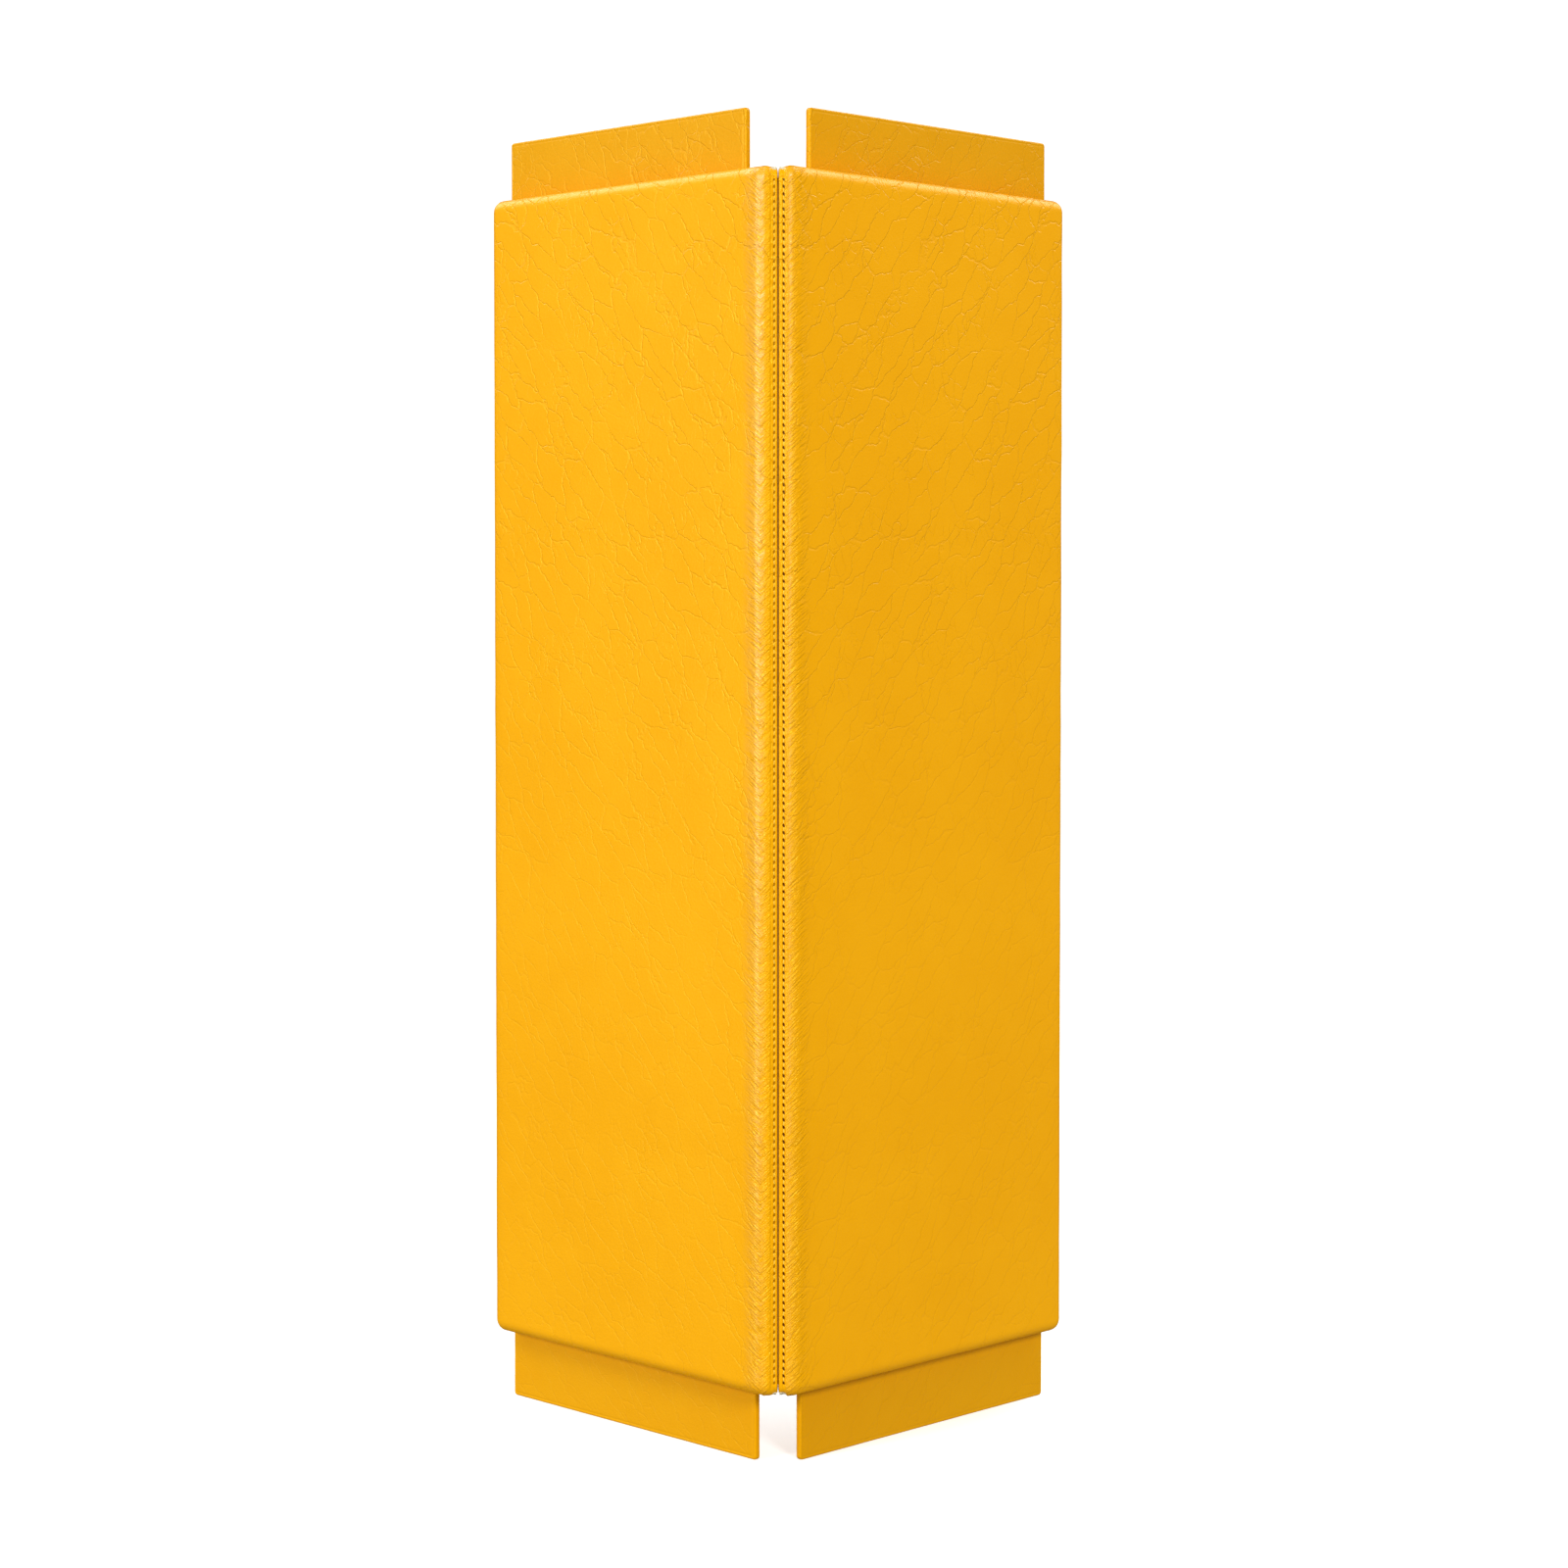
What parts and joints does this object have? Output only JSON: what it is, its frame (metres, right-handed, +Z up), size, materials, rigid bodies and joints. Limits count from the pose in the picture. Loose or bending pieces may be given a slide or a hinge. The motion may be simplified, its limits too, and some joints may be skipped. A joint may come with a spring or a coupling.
{
  "type": "padded corner guard",
  "caption": "Padded outside-corner guard: two foam wings in vinyl meet at a right angle along a topstitched seam, on thin boards with wrapped mounting flanges above and below.",
  "frame": {"origin": "on the floor, centred under the guard as seen from above", "axes": "+Z up; -Y towards the room along the line that halves the corner, so the seam faces -Y; +X to the right seen from the room; the wings run back at 45 degrees to either side"},
  "size_m": [0.4176, 0.2132, 0.9296],
  "materials": {
    "vinyl": "satin",
    "thread": "matte",
    "foam": "matte",
    "plywood": "matte",
    "hardboard": "satin",
    "tape": "matte",
    "staple_steel": "satin",
    "screw_steel": "satin"
  },
  "bodies": {
    "left_wing": {"left_core_board": "plywood", "left_foam_pad": "foam", "left_cover": "vinyl", "left_cover_staples": "staple_steel", "left_mounting_board": "hardboard", "left_board_screws": "screw_steel", "left_top_flange_wrap": "vinyl", "left_bottom_flange_wrap": "vinyl", "left_wrap_staples": "staple_steel", "left_topstitch": "thread", "seam_tape": "tape", "seam_thread": "thread"},
    "right_wing": {"right_core_board": "plywood", "right_foam_pad": "foam", "right_cover": "vinyl", "right_cover_staples": "staple_steel", "right_mounting_board": "hardboard", "right_board_screws": "screw_steel", "right_top_flange_wrap": "vinyl", "right_bottom_flange_wrap": "vinyl", "right_wrap_staples": "staple_steel", "right_topstitch": "thread"}
  },
  "joints": [
    {"name": "corner_fold", "type": "hinge", "parent": "left_wing", "child": "right_wing", "pos_m": [0, -0.10564, 0.4648], "axis": [0, 0, -1], "range_deg": [-10, 90], "deforming": ["seam_tape", "seam_thread"]}
  ]
}
